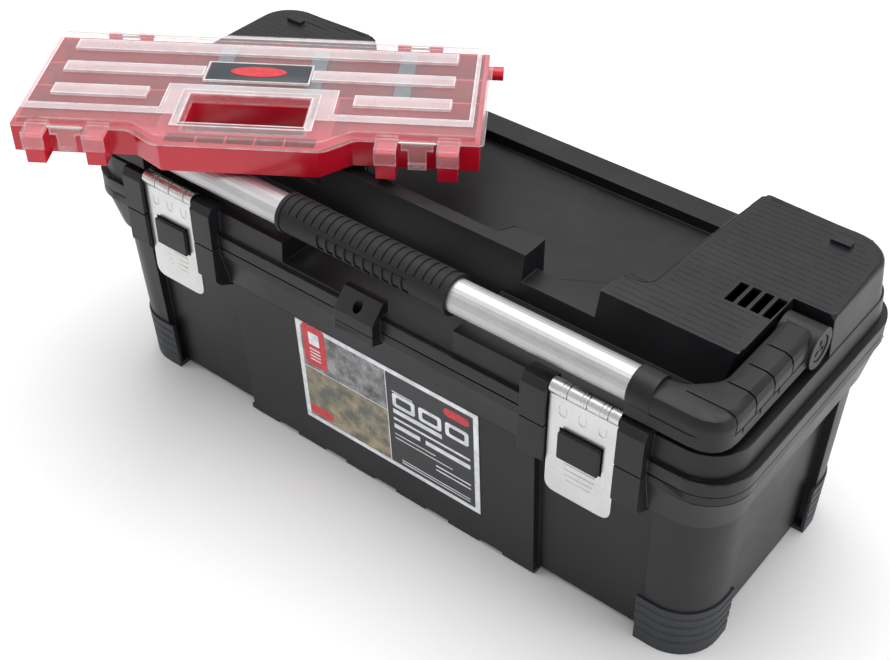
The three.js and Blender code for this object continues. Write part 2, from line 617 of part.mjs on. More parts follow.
function organiserBase() {
  const pillars = pillarPlaces.map((x) => (
    box(x - PILLAR.half, x + PILLAR.half, PILLAR.front, ORG.front + 1, 0, PILLAR.top)
  ));
  const { inner, outer, bore, r } = ORG_HINGE;
  const ears = hingePlaces.flatMap((x) => [[-outer, -inner], [inner, outer]].flatMap(([a, b]) => [
    hingeRod(r, x, a, b),
    box(x + a, x + b, ORG.back - 1, ORG_HINGE.y, 17, 23.5),
  ]));
  const peg = rod(PEG.r, ORG.half - 1, PEG.end, PEG.y, PEG.z);
  const body = join(prism(outline(organiserPlan(0, 0)), 0, ORG.base), peg, pillars, ears);
  const pockets = ROWS.map(({ x, y }) => box(...x, ...y, ORG.floor, 60));
  const grip = box(-ORG_GRIP.half, ORG_GRIP.half, ORG_GRIP.front, ORG_GRIP.back, ORG_GRIP.floor, 60);
  const bores = hingePlaces.map((x) => hingeRod(bore, x, -outer - 5, outer + 5));
  const knuckles = hingePlaces.map((x) => box(x - inner, x + inner, 93, 105, 19, 40));
  return cut(body, pockets, grip, HAND_HOLE, bores, knuckles);
}

function organiserDivider(x, [y0, y1]) {
  const low = ORG.floor + GAP;
  const front = y0 + GAP;
  const back = y1 - GAP;
  return join(
    box(x - DIVIDER.thin, x + DIVIDER.thin, front, back, low, DIVIDER.top),
    box(x - DIVIDER.cap, x + DIVIDER.cap, front, back, DIVIDER.capLow, DIVIDER.capTop),
    box(x - DIVIDER.foot, x + DIVIDER.foot, front, front + DIVIDER.footDeep, low, DIVIDER.top),
    box(x - DIVIDER.foot, x + DIVIDER.foot, back - DIVIDER.footDeep, back, low, DIVIDER.top),
  );
}

// A tab of the lid that lies on a pillar of the base and hangs down in front of it.
function pillarTab(x) {
  const { tabHalf, tabFront, tabLow, tabTop, front } = PILLAR;
  return join(
    box(x - tabHalf, x + tabHalf, tabFront, ORG.front + 2, ORG.lidLow, tabTop),
    box(x - tabHalf, x + tabHalf, tabFront, front - GAP, tabLow, tabTop),
  );
}

function organiserLid() {
  const shell = cut(
    prism(outline(organiserPlan(ORG.lidOver, ORG.corner)), ORG.lidLow, ORG.lidTop, [0.972, 0.958]),
    prism(outline(organiserPlan(ORG.lidInner, ORG.corner)), ORG.lidLow - 1, ORG.lidTop - ORG.lidSkin, [0.976, 0.962]),
  );
  const bars = [
    box(-166.5, 166.5, 53, 69, ORG.lidTop - 1, ORG.rib),
    ...mirroredBoxes(46, 166.5, 15.5, 31, ORG.lidTop - 1, ORG.rib),
    ...mirroredBoxes(86, 166.5, -22, -6, ORG.lidTop - 1, ORG.rib),
  ];
  const skin = ORG.lidSkin;
  const rimHalf = ORG.holeHalf + skin;
  const rimBlock = box(
    -rimHalf, rimHalf, ORG.holeFront - skin, ORG.holeBack + skin, ORG.lidLow, ORG.lidTop - 1,
  );
  const knuckles = hingePlaces.flatMap((x) => [
    hingeRod(ORG_HINGE.r, x, -ORG_HINGE.knuckle, ORG_HINGE.knuckle),
    box(x - ORG_HINGE.knuckle, x + ORG_HINGE.knuckle, 91.5, ORG_HINGE.y + 2, ORG.lidLow + 0.2, 29),
  ]);
  const holes = [
    HAND_HOLE,
    ...hingePlaces.map((x) => hingeRod(ORG_HINGE.bore, x, -ORG_HINGE.outer - 5, ORG_HINGE.outer + 5)),
    ...clipPlaces.map((x) => rod(1.5, x - CLIP.half - 2.5, x + CLIP.half + 2.5, CLIP.y, CLIP.z, TINY)),
    ...clipPlaces.map((x) => box(x - CLIP.half - GAP, x + CLIP.half + GAP, -90, CLIP.gapBack, 20, 40)),
  ];
  return cut(join(shell, bars, pillarPlaces.map(pillarTab), rimBlock, knuckles), holes);
}

// A clip: a strip rolled round its pin, and a narrower tongue that ends in a lip.
function organiserClip(x) {
  const clip = join(
    rod(CLIP.roll, x - CLIP.half, x + CLIP.half, CLIP.y, CLIP.z, SMALL),
    box(x - CLIP.half, x + CLIP.half, CLIP.front, CLIP.y, CLIP.strip, CLIP.z),
    box(x - CLIP.tongueHalf, x + CLIP.tongueHalf, CLIP.front, CLIP.y, CLIP.low, CLIP.strip + 1),
    box(x - CLIP.tongueHalf, x + CLIP.tongueHalf, CLIP.lipFront, CLIP.y - 1, CLIP.low, CLIP.lip),
  );
  return cut(clip, rod(CLIP.bore, x - 20, x + 20, CLIP.y, CLIP.z, TINY));
}

piece('organiser_base', organiserBase(), 'red', organiser);
for (const { name, y } of ROWS.slice(0, 2)) {
  DIVIDERS.forEach((x, i) => piece(`divider_${name}_${i + 1}`, organiserDivider(x, y), 'divider', organiser));
}
piece('organiser_lid', organiserLid(), 'clear', organiser);
const namePlate = box(-PLATE.half, PLATE.half, PLATE.y0, PLATE.y1, ORG.lidTop + GAP, ORG.rib + PLATE.proud);
piece('organiser_name_plate', namePlate, 'plate', organiser);
for (const [side, sx] of SIDES) {
  const x = sx * CLIP.x;
  const hingePin = hingeRod(ORG_HINGE.pin, sx * ORG_HINGE.x, -ORG_HINGE.pinHalf, ORG_HINGE.pinHalf);
  const clipPin = rod(CLIP.pin, x - CLIP.pinHalf, x + CLIP.pinHalf, CLIP.y, CLIP.z, TINY);
  piece(`organiser_hinge_pin_${side}`, hingePin, 'steel', organiser);
  piece(`organiser_clip_${side}`, organiserClip(x), 'clear', organiser);
  piece(`organiser_clip_pin_${side}`, clipPin, 'steel', organiser);
}

export default toolbox;
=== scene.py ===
# %% [markdown]
# # A long toolbox with an organiser lying on its lid
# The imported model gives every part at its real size. This lesson dresses it: each moulding gets soft
# edges and its small details, and each finish is built from nodes. First the frame is loaded, and its
# box is kept, because the looks may not grow past it.

# %% Load the frame
import bpy
import bmesh
import json
from math import pi, radians
from mathutils import Matrix, Vector


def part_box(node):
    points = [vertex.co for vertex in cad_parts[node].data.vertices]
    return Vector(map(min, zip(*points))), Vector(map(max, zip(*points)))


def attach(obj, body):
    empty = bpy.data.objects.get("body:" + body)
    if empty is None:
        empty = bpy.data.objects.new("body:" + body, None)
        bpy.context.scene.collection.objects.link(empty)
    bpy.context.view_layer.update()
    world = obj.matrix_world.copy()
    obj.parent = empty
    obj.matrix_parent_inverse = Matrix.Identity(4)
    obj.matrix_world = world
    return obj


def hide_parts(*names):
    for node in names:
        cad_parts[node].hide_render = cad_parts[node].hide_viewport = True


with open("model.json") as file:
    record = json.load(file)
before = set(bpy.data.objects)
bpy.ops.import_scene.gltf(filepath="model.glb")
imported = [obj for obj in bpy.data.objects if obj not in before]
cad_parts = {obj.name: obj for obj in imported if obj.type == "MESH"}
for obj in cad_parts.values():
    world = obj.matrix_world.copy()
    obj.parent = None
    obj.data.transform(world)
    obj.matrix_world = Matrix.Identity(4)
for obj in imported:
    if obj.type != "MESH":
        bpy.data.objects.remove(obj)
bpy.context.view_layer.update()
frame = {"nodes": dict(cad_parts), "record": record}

MM = 0.001
joint = {j["name"]: j for j in frame["record"]["behaviour"]["joints"]}

# %% [markdown]
# ## Camera, floor and light
# A product on a pale sweep is lit by large soft lamps, so that black plastic shows its shape in long
# gentle highlights. The camera looks down at the latch side from the right. It comes first, because
# everything after it is judged through it.

# %% Camera, floor and lamps
AIM = Vector((0.0239, -0.0617, 0.16))
VIEW_FROM = Vector((0.59067, -0.77359, 0.92656))
LENS_MM = 57.49
SENSOR_MM = 36
SKY_STRENGTH = 0.62

camera_data = bpy.data.cameras.new("camera")
camera_data.lens = LENS_MM
camera_data.sensor_width = SENSOR_MM
camera = bpy.data.objects.new("camera", camera_data)
bpy.context.scene.collection.objects.link(camera)
camera.location = VIEW_FROM
camera.rotation_euler = (AIM - VIEW_FROM).to_track_quat("-Z", "Y").to_euler()
bpy.context.scene.camera = camera

world = bpy.data.worlds.new("studio")
world.use_nodes = True
world.node_tree.nodes["Background"].inputs["Color"].default_value = (1, 1, 1, 1)
world.node_tree.nodes["Background"].inputs["Strength"].default_value = SKY_STRENGTH
bpy.context.scene.world = world
bpy.context.scene.view_settings.view_transform = "Standard"


def lamp(name, place, size, power):
    """A square soft lamp that faces the box."""
    data = bpy.data.lights.new(name, "AREA")
    data.size = size
    data.energy = power
    holder = bpy.data.objects.new(name, data)
    holder.location = place
    holder.rotation_euler = (AIM - Vector(place)).to_track_quat("-Z", "Y").to_euler()
    bpy.context.scene.collection.objects.link(holder)


lamp("overhead", (-0.2, 0.5, 2.6), 2.6, 60)
lamp("right_fill", (2.4, 0.2, 1.1), 1.4, 13)
lamp("left_fill", (-2.2, -1.4, 1.6), 1.4, 12)
print("camera at", tuple(round(v, 3) for v in camera.location))


# %% [markdown]
# ## Small helpers
# These stand for what a modeller does by hand all day: clear the selection, pick faces or edges by
# place, and clean up a finished piece. A copy of a CAD part arrives as loose triangles, so it is merged
# before its edges are rounded.

# %% Helpers for selecting and shaping
def deselect():
    """Nothing selected and object mode, as every operator below expects."""
    if bpy.context.object and bpy.context.object.mode != "OBJECT":
        bpy.ops.object.mode_set(mode="OBJECT")
    bpy.ops.object.select_all(action="DESELECT")


def take(piece):
    """Selects one piece alone and makes it the active one."""
    deselect()
    piece.select_set(True)
    bpy.context.view_layer.objects.active = piece


def smooth(piece, degrees=35):
    take(piece)
    bpy.ops.object.shade_smooth_by_angle(angle=radians(degrees))


def settle(piece, name):
    """Names a new piece and moves its place into its mesh."""
    take(piece)
    bpy.ops.object.transform_apply(location=True, rotation=True, scale=True)
    piece.name = name
    piece.data.name = name
    return piece


def modify(piece, kind, **values):
    """Adds one modifier, sets it and applies it."""
    take(piece)
    tool = piece.modifiers.new(kind.lower(), kind)
    for key, value in values.items():
        setattr(tool, key, value)
    bpy.ops.object.modifier_apply(modifier=tool.name)


def copy_of(node, name):
    """A clean copy of a CAD part, with its loose triangles merged."""
    source = frame["nodes"][node]
    piece = bpy.data.objects.new(name, source.data.copy())
    piece.data.name = name
    piece.data.materials.clear()
    bpy.context.scene.collection.objects.link(piece)
    take(piece)
    bpy.ops.object.mode_set(mode="EDIT")
    bpy.ops.mesh.select_all(action="SELECT")
    bpy.ops.mesh.remove_doubles(threshold=0.02 * MM)
    bpy.ops.mesh.select_all(action="DESELECT")
    bpy.ops.object.mode_set(mode="OBJECT")
    return piece


def round_edges(piece, width, test, segments=3, clamp=True):
    """Bevels the sharp edges whose two ends pass the test."""
    take(piece)
    bpy.ops.object.mode_set(mode="EDIT")
    bpy.ops.mesh.select_mode(type="EDGE")
    mesh = bmesh.from_edit_mesh(piece.data)
    count = 0
    for edge in mesh.edges:
        sharp = edge.is_manifold and edge.calc_face_angle(0) > radians(25)
        edge.select = bool(sharp and test(edge.verts[0].co, edge.verts[1].co))
        count += edge.select
    bmesh.update_edit_mesh(piece.data)
    if count:
        bpy.ops.mesh.bevel(offset=width, segments=segments, affect="EDGES", clamp_overlap=clamp)
    bpy.ops.mesh.select_all(action="DESELECT")
    bpy.ops.object.mode_set(mode="OBJECT")
    return count


def soften(piece, width=0.5 * MM, degrees=28, segments=2):
    """The small radius that a mould leaves on every edge. Wide faces keep their flat shading."""
    modify(piece, "BEVEL", width=width, segments=segments, limit_method="ANGLE",
           angle_limit=radians(degrees), use_clamp_overlap=False)
    smooth(piece, 40)
    modify(piece, "WEIGHTED_NORMAL", mode="FACE_AREA", weight=100, keep_sharp=True)


def block(name, low, high, bevel=0.4 * MM, segments=2):
    """A bevelled bar from its low corner to its high corner."""
    deselect()
    low, high = Vector(low), Vector(high)
    bpy.ops.mesh.primitive_cube_add(size=1, location=(low + high) / 2, scale=high - low)
    piece = settle(bpy.context.object, name)
    if bevel:
        modify(piece, "BEVEL", width=bevel, segments=segments, limit_method="ANGLE",
               angle_limit=radians(30), use_clamp_overlap=True)
    return piece


def round_corners(piece, width):
    """Rounds the four corners of a plate that faces the front, along their edges through it."""
    take(piece)
    bpy.ops.object.mode_set(mode="EDIT")
    bpy.ops.mesh.select_mode(type="EDGE")
    mesh = bmesh.from_edit_mesh(piece.data)
    for edge in mesh.edges:
        across = edge.verts[0].co - edge.verts[1].co
        edge.select = abs(across.y) > 0 and abs(across.x) + abs(across.z) < 0.01 * MM
    bmesh.update_edit_mesh(piece.data)
    bpy.ops.mesh.bevel(offset=width, segments=5, affect="EDGES")
    bpy.ops.object.mode_set(mode="OBJECT")


def joined(pieces, name):
    """One piece from several."""
    deselect()
    for piece in pieces:
        piece.select_set(True)
    bpy.context.view_layer.objects.active = pieces[0]
    bpy.ops.object.join()
    pieces[0].name = name
    pieces[0].data.name = name
    return pieces[0]


def keep_within(piece, node):
    """Pulls back whatever a bevel pushed past the CAD part's box."""
    low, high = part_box(node)
    for vertex in piece.data.vertices:
        for axis in range(3):
            vertex.co[axis] = min(high[axis], max(low[axis], vertex.co[axis]))


def dress(piece, body, finish, stands_for=None):
    """Gives a piece its finish and its body. If it stands for a CAD part, it is kept inside that part's box
    and the part is hidden.
    """
    piece.data.materials.clear()
    piece.data.materials.append(finish)
    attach(piece, body)
    if stands_for:
        keep_within(piece, stands_for)
        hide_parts(stands_for)
    return piece


# %% [markdown]
# ## Effects shared by the finishes
# Moulded plastic is never one flat colour: the mould was spark-eroded to a fine grain, and dust settles
# on what faces up. The edges get a painted highlight, a paler band where their rounding catches the light.
# Each effect is a node group that puts out a value or a mask, and each finish mixes it in with its own
# strength.

# %% Node groups for grain, painted edge highlight and dust
def new_group(name, inputs, outputs):
    tree = bpy.data.node_groups.new(name, "ShaderNodeTree")
    for label, default in inputs:
        socket = tree.interface.new_socket(label, in_out="INPUT", socket_type="NodeSocketFloat")
        socket.default_value = default
    for label in outputs:
        tree.interface.new_socket(label, in_out="OUTPUT", socket_type="NodeSocketFloat")
    return tree, tree.nodes.new("NodeGroupInput"), tree.nodes.new("NodeGroupOutput")


def add(tree, kind, **values):
    node = tree.nodes.new(kind)
    for key, value in values.items():
        setattr(node, key, value)
    return node


def scaled(tree, source, low, high, out_low, out_high):
    """Maps a value from one range to another."""
    node = add(tree, "ShaderNodeMapRange")
    for index, value in enumerate((low, high, out_low, out_high), start=1):
        node.inputs[index].default_value = value
    tree.links.new(source, node.inputs[0])
    return node.outputs[0]


def noise(tree, coords, scale, detail=2.0, rough=0.5):
    node = add(tree, "ShaderNodeTexNoise")
    node.inputs["Scale"].default_value = scale
    node.inputs["Detail"].default_value = detail
    node.inputs["Roughness"].default_value = rough
    tree.links.new(coords, node.inputs["Vector"])
    return node.outputs["Fac"]


def stretch(tree, coords, scale):
    node = add(tree, "ShaderNodeMapping")
    node.inputs["Scale"].default_value = scale
    tree.links.new(coords, node.inputs["Vector"])
    return node.outputs["Vector"]


def maths(tree, operation, first, second):
    node = add(tree, "ShaderNodeMath", operation=operation)
    for index, value in enumerate((first, second)):
        if isinstance(value, (int, float)):
            node.inputs[index].default_value = value
        else:
            tree.links.new(value, node.inputs[index])
    return node.outputs[0]


def mould_grain_group():
    tree, into, out = new_group("Mould Grain", [("Scale", 900.0)], ["Height", "Blotch"])
    coords = add(tree, "ShaderNodeTexCoord").outputs["Object"]
    grain = add(tree, "ShaderNodeTexNoise")
    grain.inputs["Detail"].default_value = 3
    grain.inputs["Roughness"].default_value = 0.65
    tree.links.new(into.outputs["Scale"], grain.inputs["Scale"])
    tree.links.new(coords, grain.inputs["Vector"])
    tree.links.new(grain.outputs["Fac"], out.inputs["Height"])
    tree.links.new(noise(tree, coords, 14, 4, 0.6), out.inputs["Blotch"])
    return tree


def painted_edge_highlight_group():
    # Painted highlight: a mask for a pale band along the edges, where light catches their rounding, broken up
    # by noise.
    tree, into, out = new_group("Painted Edge Highlight", [("Radius", 0.0012), ("Break Up", 90.0)], ["Mask"])
    coords = add(tree, "ShaderNodeTexCoord").outputs["Object"]
    bevel = add(tree, "ShaderNodeBevel", samples=4)
    tree.links.new(into.outputs["Radius"], bevel.inputs["Radius"])
    geometry = add(tree, "ShaderNodeNewGeometry")
    dot = add(tree, "ShaderNodeVectorMath", operation="DOT_PRODUCT")
    tree.links.new(bevel.outputs["Normal"], dot.inputs[0])
    tree.links.new(geometry.outputs["Normal"], dot.inputs[1])
    edge = scaled(tree, dot.outputs["Value"], 0.985, 0.85, 0, 1)
    breaks = add(tree, "ShaderNodeTexNoise")
    breaks.inputs["Detail"].default_value = 4
    tree.links.new(into.outputs["Break Up"], breaks.inputs["Scale"])
    tree.links.new(coords, breaks.inputs["Vector"])
    painted_edge_light = scaled(tree, breaks.outputs["Fac"], 0.35, 0.62, 0.15, 1)
    tree.links.new(maths(tree, "MULTIPLY", edge, painted_edge_light), out.inputs["Mask"])
    return tree


def dust_group():
    tree, into, out = new_group("Settled Dust", [("Amount", 0.5)], ["Mask"])
    coords = add(tree, "ShaderNodeTexCoord")
    split = add(tree, "ShaderNodeSeparateXYZ")
    tree.links.new(coords.outputs["Normal"], split.inputs[0])
    facing = scaled(tree, split.outputs["Z"], 0.35, 1.0, 0, 1)
    cloud = scaled(tree, noise(tree, coords.outputs["Object"], 26, 6, 0.7), 0.45, 0.8, 0, 1)
    specks = scaled(tree, noise(tree, coords.outputs["Object"], 700, 1, 0.5), 0.66, 0.75, 0, 1)
    both = maths(tree, "MAXIMUM", cloud, specks)
    mask = maths(tree, "MULTIPLY", maths(tree, "MULTIPLY", both, facing), into.outputs["Amount"])
    tree.links.new(mask, out.inputs["Mask"])
    return tree


GRAIN = mould_grain_group()
EDGE_HIGHLIGHT = painted_edge_highlight_group()
DUST = dust_group()
print("effects", [g.name for g in (GRAIN, EDGE_HIGHLIGHT, DUST)])


# %% [markdown]
# ## Finishes
# Every plastic on this object shares one recipe: a base colour, a faint blotch in it, a painted highlight
# on its edges, a little dust and the mould's grain as bump. A function builds it, so each finish is a short
# list of what makes it different.

# %% Plastic recipe
def use_group(tree, group, **values):
    node = tree.nodes.new("ShaderNodeGroup")
    node.node_tree = group
    for label, value in values.items():
        node.inputs[label.replace("_", " ")].default_value = value
    return node


def mix_colour(tree, mask, first, second):
    node = add(tree, "ShaderNodeMix", data_type="RGBA")
    tree.links.new(mask, node.inputs["Factor"])
    for index, value in ((6, first), (7, second)):
        if isinstance(value, tuple):
            node.inputs[index].default_value = value
        else:
            tree.links.new(value, node.inputs[index])
    return node.outputs[2]


def shade(colour, factor):
    return tuple(min(1.0, part * factor) for part in colour) + (1.0,)


def new_finish(name):
    finish = bpy.data.materials.new(name)
    finish.use_nodes = True
    tree = finish.node_tree
    return finish, tree, tree.nodes["Principled BSDF"]


def bump(tree, height, shader, strength, distance):
    node = add(tree, "ShaderNodeBump")
    node.inputs["Strength"].default_value = strength
    node.inputs["Distance"].default_value = distance
    tree.links.new(height, node.inputs["Height"])
    tree.links.new(node.outputs["Normal"], shader.inputs["Normal"])


def plastic(name, colour, rough, grain, highlight_gain, dust, grain_scale=900.0, coat=0.0, gloss=0.5):
    finish, tree, shader = new_finish(name)
    texture = use_group(tree, GRAIN, Scale=grain_scale)
    edges = use_group(tree, EDGE_HIGHLIGHT)
    dusty = use_group(tree, DUST, Amount=dust)
    blotch = scaled(tree, texture.outputs["Blotch"], 0.3, 0.7, 0, 1)
    base = mix_colour(tree, blotch, shade(colour, 0.9), shade(colour, 1.12))
    # Painted highlight: the edges are painted this many times paler than the base colour, where light catches
    # them.
    highlighted = mix_colour(tree, edges.outputs["Mask"], base, shade(colour, highlight_gain))
    dust_colour = tuple(part * 0.6 + 0.13 for part in colour) + (1.0,)
    dusted = mix_colour(tree, dusty.outputs["Mask"], highlighted, dust_colour)
    tree.links.new(dusted, shader.inputs["Base Color"])
    roughness = scaled(tree, texture.outputs["Blotch"], 0.3, 0.7, *rough)
    tree.links.new(maths(tree, "ADD", roughness, maths(tree, "MULTIPLY", dusty.outputs["Mask"], 0.2)),
                   shader.inputs["Roughness"])
    bump(tree, texture.outputs["Height"], shader, grain, 0.15 * MM)
    shader.inputs["Specular IOR Level"].default_value = gloss
    shader.inputs["Coat Weight"].default_value = coat
    shader.inputs["Coat Roughness"].default_value = 0.15
    return finish


# The fifth value of each plastic is its painted edge highlight, a factor on the base colour.
SHELL = plastic("black_polypropylene", (0.0082, 0.0081, 0.0100), (0.34, 0.46), 0.35, 5.0, 0.07, gloss=0.34)
FOOT = plastic("blue_black_guard", (0.023, 0.026, 0.032), (0.46, 0.58), 0.35, 2.6, 0.08, gloss=0.4)
TRAY = plastic("grey_black_tray", (0.016, 0.016, 0.018), (0.42, 0.54), 0.3, 2.4, 0.1, gloss=0.4)
ARM = plastic("black_nylon", (0.0056, 0.0056, 0.0062), (0.36, 0.48), 0.2, 5.0, 0.06, gloss=0.34)
RUBBER = plastic("soft_grip_rubber", (0.0085, 0.0085, 0.009), (0.5, 0.64), 0.5, 2.6, 0.08, grain_scale=600,
                 gloss=0.3)
RED = plastic("red_polystyrene", (0.55, 0.006, 0.024), (0.2, 0.3), 0.05, 1.25, 0.03, coat=0.3)
DIVIDER = plastic("blue_grey_divider", (0.10, 0.17, 0.20), (0.3, 0.4), 0.1, 1.3, 0.03)
PLATE = plastic("slate_name_plate", (0.028, 0.035, 0.045), (0.35, 0.45), 0.1, 1.8, 0.05)
print("plastics", [m.name for m in (SHELL, FOOT, TRAY, ARM, RUBBER, RED, DIVIDER, PLATE)])


# %% [markdown]
# ## Metals and clear plastic
# A drawn tube keeps fine lines along its length, and a zinc plated stamping has a soft cloudy sheen with
# lines across it. Both come from one recipe with the noise stretched along the working direction. The
# organiser's lid is milky and clear, so it is mostly see-through with a faint haze.

# %% Metal and clear finishes
def metal(name, colour, rough, lines, line_depth):
    finish, tree, shader = new_finish(name)
    coords = add(tree, "ShaderNodeTexCoord").outputs["Object"]
    streak = noise(tree, stretch(tree, coords, lines), 1.0, 3, 0.6)
    cloud = noise(tree, coords, 30, 3, 0.6)
    edges = use_group(tree, EDGE_HIGHLIGHT)
    base = mix_colour(tree, scaled(tree, cloud, 0.3, 0.7, 0, 1), shade(colour, 0.9), shade(colour, 1.05))
    # Painted highlight: the edges are painted 1.15 times paler, where light catches them.
    painted_edge_light = mix_colour(tree, edges.outputs["Mask"], base, shade(colour, 1.15))
    tree.links.new(painted_edge_light, shader.inputs["Base Color"])
    mixed = maths(tree, "ADD", maths(tree, "MULTIPLY", streak, 0.5), maths(tree, "MULTIPLY", cloud, 0.5))
    tree.links.new(scaled(tree, mixed, 0.3, 0.7, *rough), shader.inputs["Roughness"])
    bump(tree, streak, shader, line_depth, 0.05 * MM)
    shader.inputs["Metallic"].default_value = 1.0
    return finish


def clear_plastic(name, colour, alpha):
    finish, tree, shader = new_finish(name)
    texture = use_group(tree, GRAIN, Scale=300.0)
    edges = use_group(tree, EDGE_HIGHLIGHT, Radius=0.002)
    haze = scaled(tree, texture.outputs["Blotch"], 0.3, 0.7, alpha * 0.85, alpha * 1.15)
    # Painted highlight: the edges are made more opaque, so that they show whiter, where light catches them.
    tree.links.new(maths(tree, "ADD", haze, maths(tree, "MULTIPLY", edges.outputs["Mask"], 0.45)),
                   shader.inputs["Alpha"])
    base = mix_colour(tree, texture.outputs["Blotch"], shade(colour, 0.97), shade(colour, 1.03))
    tree.links.new(base, shader.inputs["Base Color"])
    tree.links.new(scaled(tree, texture.outputs["Blotch"], 0.3, 0.7, 0.12, 0.22), shader.inputs["Roughness"])
    bump(tree, texture.outputs["Height"], shader, 0.04, 0.2 * MM)
    return finish


ALUMINIUM = metal("drawn_aluminium", (0.52, 0.52, 0.53), (0.42, 0.5), (2, 700, 700), 0.12)
STEEL = metal("zinc_plated_steel", (0.66, 0.67, 0.66), (0.24, 0.36), (400, 60, 60), 0.03)
CLEAR = clear_plastic("milky_clear_styrene", (0.86, 0.80, 0.82), 0.11)
print("metals and clear", [m.name for m in (ALUMINIUM, STEEL, CLEAR)])

# %% [markdown]
# The floor is one large plane in a plain matt white. It only has to catch soft shadows, so it gets no
# texture.

# %% Floor
deselect()
bpy.ops.mesh.primitive_plane_add(size=8, location=(0, 0, 0))
floor = bpy.context.object
floor.name = "floor"
pale, _, pale_shader = new_finish("pale_floor")
pale_shader.inputs["Base Color"].default_value = (0.93, 0.93, 0.93, 1)
pale_shader.inputs["Roughness"].default_value = 0.7
floor.data.materials.append(pale)

# %% [markdown]
# ## Lid
# The lid is one moulding with a recess for the organiser, two raised platforms and a shelf for the
# handle. The CAD part has every wall in its place, so a copy of it is rounded: wide on the crown, where
# a hand meets it, narrower on the rim, and the mould's small radius on all other edges.

# %% Lid moulding
def level(height, reach=0.3 * MM):
    """A test for edges that lie at one height."""
    return lambda a, b: abs(a.z - height) < reach and abs(b.z - height) < reach


CROWN = 277.5 * MM
BAND_TOP = 218 * MM
lid = copy_of("lid_shell", "lid_moulding")
OUTER_X, OUTER_Y = 0.3, 0.105
on_crown = level(CROWN)


def outer_crown(a, b):
    """The crown's edges round the outside of the box."""
    return on_crown(a, b) and all(abs(v.x) > OUTER_X or v.y > OUTER_Y for v in (a, b))


print("outer crown edges", round_edges(lid, 4.5 * MM, outer_crown, 4, clamp=False))
print("inner crown edges", round_edges(lid, 1.6 * MM, on_crown))
print("band edges", round_edges(lid, 3.0 * MM, level(BAND_TOP)))
soften(lid, 0.6 * MM)
dress(lid, "lid", SHELL, "lid_shell")

# %% [markdown]
# The platforms carry fine ribs along the box, so that things stood on them don't slide. One thin bar is
# made for each rib, and its ends are worked out from the platform's outline, which narrows at the
# handle's niche and at the vent slots.

# %% Anti-slip ribs on the platforms
RIB_PITCH = 6.6 * MM
RIB_TALL = 0.5 * MM
RIB_ROWS = 27
FIRST_RIB = -60
RIB_HALF = 0.55


def rib_spans(y):
    """The stretches of x, in mm, that a rib at this y may cover on the right platform."""
    inner = 177 if y < -33 else (203 if y < 36 else 206 + (y - 36) * 0.05)
    outer = 279 if y < 19 else min(314, 314 - max(0, y - 88) * 0.9)
    if -20 < y < 12:
        return [(inner, 243), (290, outer)] if outer > 290 else [(inner, 243)]
    if 90 < y < 105:
        return [(inner, 271), (297, outer)] if outer > 300 else [(inner, 271)]
    return [(inner, outer)]


def platform_ribs(side, name):
    bars = []
    for step in range(RIB_ROWS):
        y = FIRST_RIB + step * RIB_PITCH / MM
        for x0, x1 in rib_spans(y):
            xs = sorted((side * x0 * MM, side * x1 * MM))
            bars.append(block("rib", (xs[0], (y - RIB_HALF) * MM, CROWN - RIB_TALL),
                              (xs[1], (y + RIB_HALF) * MM, CROWN + 0.32 * MM), 0.25 * MM, 1))
    ribs = joined(bars, name)
    smooth(ribs)
    print(name, len(bars), "bars")
    return dress(ribs, "lid", SHELL)


platform_ribs(1, "platform_ribs_right")
platform_ribs(-1, "platform_ribs_left")

# %% [markdown]
# ## Bin and its guards
# The bin is treated like the lid: a wide radius on the rim, a smaller one on the collar. The guards on
# its lower corners are separate, slightly bluer mouldings with finger-wide grooves.

# %% Bin moulding and corner guards
RIM = 197
COLLAR = 163
bin_body = copy_of("bin_shell", "bin_moulding")
print("rim edges", round_edges(bin_body, 2.2 * MM, level(RIM * MM)))
print("collar edges", round_edges(bin_body, 2.0 * MM, level(COLLAR * MM)))
soften(bin_body, 0.6 * MM)
dress(bin_body, "bin", SHELL, "bin_shell")
for end in ("front", "back"):
    for side in ("left", "right"):
        guard = copy_of(f"corner_foot_{end}_{side}", f"corner_guard_{end}_{side}")
        soften(guard, 0.5 * MM)
        dress(guard, "bin", FOOT, f"corner_foot_{end}_{side}")

# %% [markdown]
# ## Label
# A printed film with a pale border lies on the front panel. Its print is made of thin flat pieces: two
# mottled picture fields, a dark field with plain bars for the words, and red tags. The wall leans, so
# every piece is made upright and then turned about the label's lower edge to lie on it.

# %% Label print finishes
def ink(name, colour, second, scale, rough=0.35):
    """A print colour that drifts into a second one in soft patches."""
    finish, tree, shader = new_finish(name)
    coords = add(tree, "ShaderNodeTexCoord").outputs["Object"]
    patches = scaled(tree, noise(tree, coords, scale, 5, 0.65), 0.38, 0.62, 0, 1)
    speckle = scaled(tree, noise(tree, coords, scale * 9, 2, 0.5), 0.35, 0.65, 0.85, 1.1)
    base = mix_colour(tree, patches, colour + (1.0,), second + (1.0,))
    node = add(tree, "ShaderNodeVectorMath", operation="SCALE")
    tree.links.new(base, node.inputs[0])
    tree.links.new(speckle, node.inputs["Scale"])
    tree.links.new(node.outputs["Vector"], shader.inputs["Base Color"])
    tree.links.new(scaled(tree, patches, 0, 1, rough, rough + 0.08), shader.inputs["Roughness"])
    bump(tree, speckle, shader, 0.03, 0.05 * MM)
    return finish


INK = {
    "white": ink("print_white", (0.80, 0.82, 0.85), (0.76, 0.78, 0.82), 12),
    "dark": ink("print_charcoal", (0.022, 0.022, 0.026), (0.032, 0.032, 0.037), 25),
    "grey": ink("print_grey_scene", (0.05, 0.052, 0.055), (0.34, 0.34, 0.35), 55),
    "tan": ink("print_tan_scene", (0.12, 0.125, 0.105), (0.40, 0.33, 0.21), 60),
    "red": ink("print_red", (0.62, 0.035, 0.045), (0.56, 0.03, 0.04), 30),
}

# %% [markdown]
# With the inks ready, the print is laid out in millimetres from the label's left and lower edges. A
# higher layer stands a little further forward, so that no two prints share one face.

